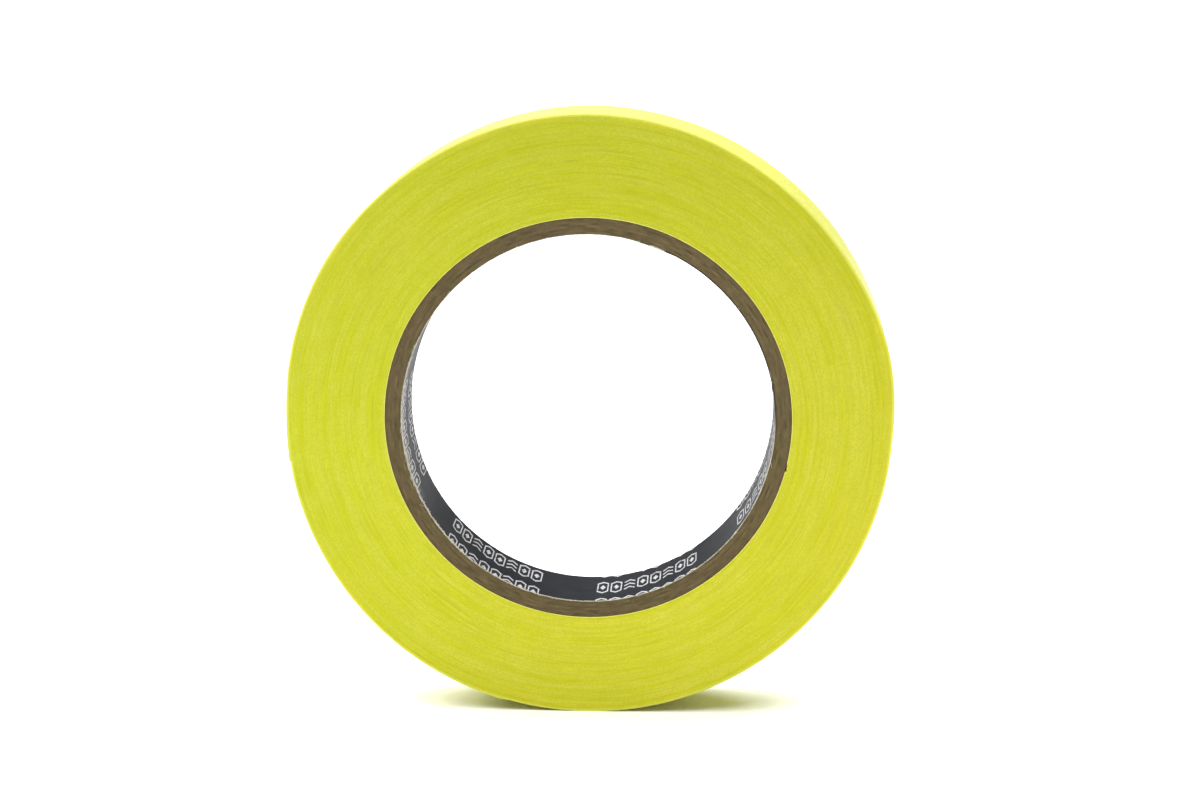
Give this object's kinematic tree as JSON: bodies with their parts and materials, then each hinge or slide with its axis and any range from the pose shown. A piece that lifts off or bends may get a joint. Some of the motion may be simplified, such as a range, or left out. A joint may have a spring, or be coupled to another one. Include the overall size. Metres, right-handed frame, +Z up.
{
  "type": "masking tape roll",
  "caption": "Roll of crepe masking tape on a spiral-wound chipboard core, standing on its rim, with a free end that peels off.",
  "frame": {"origin": "centre of the bore, halfway across the tape's width", "axes": "+Z up, roll axis along Y with the front side face towards -Y, +X to the right seen from the front; the roll stands on its rim"},
  "size_m": [0.124, 0.019, 0.124],
  "materials": {
    "printed_liner": "satin",
    "chipboard": "matte",
    "core_wrap_paper": "matte",
    "tape": "matte"
  },
  "bodies": {
    "roll": {"core_liner": "printed_liner", "core_ply_1": "chipboard", "core_ply_2": "chipboard", "core_ply_3": "chipboard", "core_ply_4": "chipboard", "core_ply_5": "chipboard", "core_ply_6": "chipboard", "core_ply_7": "chipboard", "core_wrap": "core_wrap_paper", "tape_first_turn": "tape", "wound_tape": "tape", "tape_outer_turn": "tape"},
    "free_end": {"tape_free_end": "tape"}
  },
  "joints": [
    {"name": "free_end_peel", "type": "hinge", "parent": "roll", "child": "free_end", "pos_m": [-0.06122, 0, 0.01078], "axis": [0, 1, 0], "range_deg": [0, 150]}
  ]
}
